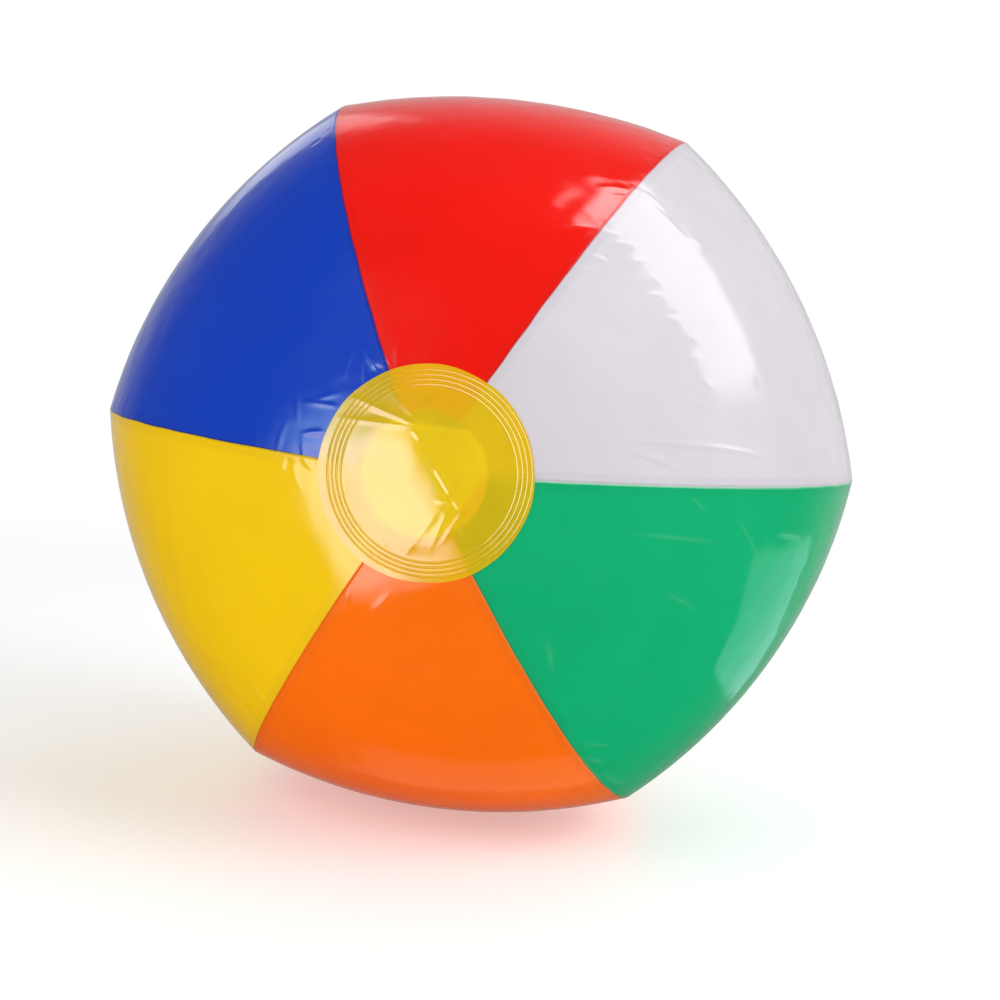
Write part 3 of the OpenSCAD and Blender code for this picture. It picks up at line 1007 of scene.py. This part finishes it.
def make_camera():
    """The camera stands at a given angle and distance from the ball's centre and looks beside it."""
    camera = bpy.data.objects.new("camera", bpy.data.cameras.new("camera"))
    bpy.context.scene.collection.objects.link(camera)
    a, e = math.radians(CAMERA_AZIMUTH), math.radians(CAMERA_ELEVATION)
    direction = Vector((math.sin(a) * math.cos(e), -math.cos(a) * math.cos(e), math.sin(e)))
    camera.location = CAMERA_DISTANCE * direction
    turn = (CAMERA_AIM - camera.location).to_track_quat("-Z", "Y").to_matrix().to_4x4()
    turn = turn @ turn.Rotation(math.radians(CAMERA_ROLL), 4, "Z")
    camera.rotation_mode = "QUATERNION"
    camera.rotation_quaternion = turn.to_quaternion()
    camera.data.lens = CAMERA_LENS
    camera.data.clip_start = CAMERA_NEAR
    bpy.context.scene.camera = camera


def softbox(name, direction, distance, size, radiance, colour=(1, 1, 1), long_axis=(0, 0, 1),
            aim=(0, 0, 0), diffuse=True, glossy=True, soft_edge=0.0, slant=0.0):
    """A soft box at a distance from the point aim, facing it. The second of its sizes runs along long_axis.
    Its brightness falls off over the share soft_edge of its sizes at the edges."""
    width, height = size
    light = bpy.data.lights.new(name, "AREA")
    light.shape = "RECTANGLE"
    light.size, light.size_y = width, height
    light.color = colour
    light.energy = radiance * math.pi * width * height
    if soft_edge:
        soften_edges(light, soft_edge, slant)
    lamp = bpy.data.objects.new(name, light)
    bpy.context.scene.collection.objects.link(lamp)
    back = Vector(direction).normalized()
    up = Vector(long_axis)
    up = (up - up.dot(back) * back).normalized()
    turn = Matrix((up.cross(back), up, back)).transposed().to_4x4()
    turn.translation = Vector(aim) + back * distance
    lamp.matrix_world = turn
    lamp.visible_camera = False
    lamp.visible_diffuse = diffuse
    lamp.visible_glossy = glossy


def soften_edges(light, share, slant):
    """Fades a soft box's light towards its edges, as its cloth front does. A slanted one has its two ends cut
    obliquely."""
    light.use_nodes = True
    tree = light.node_tree
    split = tree.nodes.new("ShaderNodeSeparateXYZ")
    tree.links.new(tree.nodes.new("ShaderNodeNewGeometry").outputs["Parametric"], split.inputs[0])
    across = math_of(tree, "SUBTRACT", split.outputs["X"], 0.5)
    along = math_of(tree, "SUBTRACT", split.outputs["Y"], 0.5)
    along = math_of(tree, "ADD", along, math_of(tree, "MULTIPLY", across, slant))
    fades = []
    for offset, reach in ((across, 0.5), (along, 0.5 - abs(slant) / 2)):
        fades.append(range_of(tree, math_of(tree, "ABSOLUTE", offset, 0), reach, reach - share))
    tree.links.new(math_of(tree, "MULTIPLY", *fades), tree.nodes["Emission"].inputs["Strength"])


STRIP_AXIS = (-0.78, 0, 0.62)
STRIP_AIM = (0.05, -0.08, 0.07)
FRONT_AXIS = (-0.5, 0, 1)
FRONT_AIM = (-0.02, -0.115, -0.01)


def make_lights():
    """The first soft boxes only make highlights, the others only light the colours."""
    softbox("right strip", (0.62, 0.09, 0.78), 1.1, (0.58, 1.44), 3.25, long_axis=STRIP_AXIS, aim=STRIP_AIM,
            diffuse=False, soft_edge=0.12)
    softbox("strip head", (0.33, 0.07, 1.14), 1.19, (0.5, 0.5), 3.4, long_axis=STRIP_AXIS, aim=STRIP_AIM,
            diffuse=False, soft_edge=0.2)
    softbox("low right panel", (0.68, 0.58, -0.38), 1.0, (0.44, 1.04), 0.85, (0.6, 0.9, 1),
            long_axis=(0.33, -0.27, 0.21), aim=(0.1, -0.06, -0.04), diffuse=False, soft_edge=0.04, slant=0.44)
    softbox("front panel", (-0.40, -0.86, -0.26), 0.98, (0.72, 0.98), 4.4, (1, 0.97, 0.93),
            long_axis=FRONT_AXIS, aim=FRONT_AIM, diffuse=False, soft_edge=0.16)
    softbox("front glow", (-0.66, -0.80, 0.12), 1.04, (0.80, 0.42), 3.6, (0.6, 1, 1),
            long_axis=FRONT_AXIS, aim=FRONT_AIM, diffuse=False, soft_edge=0.5)
    softbox("low back panel", (0.05, 0.42, -0.9), 1.0, (0.9, 0.5), 0.3, (1, 0.8, 0.6),
            long_axis=(0, 1, 0.4), aim=(0.02, -0.07, -0.09), diffuse=False, soft_edge=0.2)
    softbox("rear strip", (-0.5, 0.72, 0.6), 1.2, (0.35, 0.9), 0.8, diffuse=False, soft_edge=0.2)
    softbox("key", (-0.5, -0.7, 0.5), 1.4, (0.9, 0.9), 2.8, glossy=False)
    softbox("low fill", (-0.3, -0.85, -0.3), 1.4, (1.2, 1.2), 1.2, glossy=False)
    softbox("right fill", (0.86, -0.18, 0.60), 1.4, (1.0, 1.0), 4.35, (0.96, 1, 1), glossy=False)
    softbox("top", (0.2, 0.2, 1), 1.3, (1.0, 1.0), 1.2, glossy=False)
    softbox("rear fill", (0.35, 0.85, 0.3), 1.4, (1.0, 1.0), 1.6, glossy=False)


GLOW_POWER = 0.40
GLOW_COLOUR = (0.58, 0.92, 0.6)
GLOW_RADIUS = 0.05


def make_interior_glow():
    """Real film lets some light into the ball, so its inside is not dark."""
    light = bpy.data.lights.new("interior glow", "POINT")
    light.energy = GLOW_POWER
    light.color = GLOW_COLOUR
    light.shadow_soft_size = GLOW_RADIUS
    lamp = bpy.data.objects.new("interior glow", light)
    bpy.context.scene.collection.objects.link(lamp)
    lamp.visible_camera = False


ROOM_LIGHT = 0.36
MIRRORED_ROOM = 0.10
MIRRORED_BACK = 0.5
MIRRORED_LOW = 0.25
BACK_RISE = (0.35, 0.95)
LOW_RISE = (-0.6, 0.05)


def make_world():
    """White backdrop for the camera and an even soft light for matt surfaces. Glossy surfaces mirror a dim
    room that is brighter behind the ball and darker towards the floor."""
    world = bpy.data.worlds.new("studio")
    bpy.context.scene.world = world
    world.use_nodes = True
    tree = world.node_tree
    tree.nodes.clear()
    link = tree.links.new

    def background(strength):
        node = tree.nodes.new("ShaderNodeBackground")
        node.inputs["Color"].default_value = (1, 1, 1, 1)
        node.inputs["Strength"].default_value = strength
        return node

    def choose(factor, without, chosen):
        mix = tree.nodes.new("ShaderNodeMixShader")
        link(factor, mix.inputs["Fac"])
        link(without.outputs[0], mix.inputs[1])
        link(chosen.outputs[0], mix.inputs[2])
        return mix

    split = tree.nodes.new("ShaderNodeSeparateXYZ")
    link(tree.nodes.new("ShaderNodeTexCoord").outputs["Generated"], split.inputs[0])
    back = range_of(tree, split.outputs["Y"], *BACK_RISE, MIRRORED_ROOM, MIRRORED_BACK)
    low = range_of(tree, split.outputs["Z"], *LOW_RISE, MIRRORED_LOW)
    mirrored = background(1)
    link(math_of(tree, "MULTIPLY", back, low), mirrored.inputs["Strength"])
    path = tree.nodes.new("ShaderNodeLightPath")
    room = choose(path.outputs["Is Glossy Ray"], background(ROOM_LIGHT), mirrored)
    seen = choose(path.outputs["Is Camera Ray"], room, background(1))
    output = tree.nodes.new("ShaderNodeOutputWorld")
    link(seen.outputs[0], output.inputs["Surface"])


FLOOR_R = 0.9
FLOOR_SIDES = 128
FLOOR_FADE = (0.30, 0.85)
FLOOR_COLOUR = (0.68, 0.68, 0.68)
FLOOR_GLOW = 0.52
FLOOR_ROUGHNESS = 0.7


def make_floor():
    """A pale round floor that fades into the backdrop. The ball's gloss mirrors the studio, not the floor."""
    bpy.ops.mesh.primitive_circle_add(vertices=FLOOR_SIDES, radius=FLOOR_R, fill_type="NGON",
                                      location=(0, 0, FLOOR_Z))
    floor = bpy.context.object
    floor.name = "floor"
    n = Nodes("floor")
    distance = n.add("VectorMath", operation="LENGTH")
    n.link(n.place, distance.inputs[0])
    fade = range_of(n.tree, distance.outputs["Value"], *FLOOR_FADE)
    body = n.principled(Base_Color=FLOOR_COLOUR, Roughness=FLOOR_ROUGHNESS,
                        Emission_Color=FLOOR_COLOUR, Emission_Strength=FLOOR_GLOW)
    floor.data.materials.append(n.show(see_through(n, body, (1, 1, 1), fade)))
    floor.visible_glossy = False
    floor.visible_shadow = False


# ---- build

for index, panel_name in enumerate(PANELS):
    make_panel(index, panel_name, film_material(panel_name))
disc_film = disc_material()
make_disc("front_disc_film", "end_disc_front", True, 0.0, DISC_FOLDS, disc_film)
make_disc("rear_disc_film", "end_disc_rear", False, WELL_R + 0.1 * MM, rear_folds(), disc_film)
vinyl = vinyl_material()
make_flange(vinyl)
make_skirt(vinyl)
make_stem(vinyl)
make_plug(vinyl)
make_tether(vinyl)
make_flap(vinyl)

make_camera()
make_lights()
make_interior_glow()
make_world()
make_floor()
bpy.context.scene.view_settings.view_transform = "Standard"
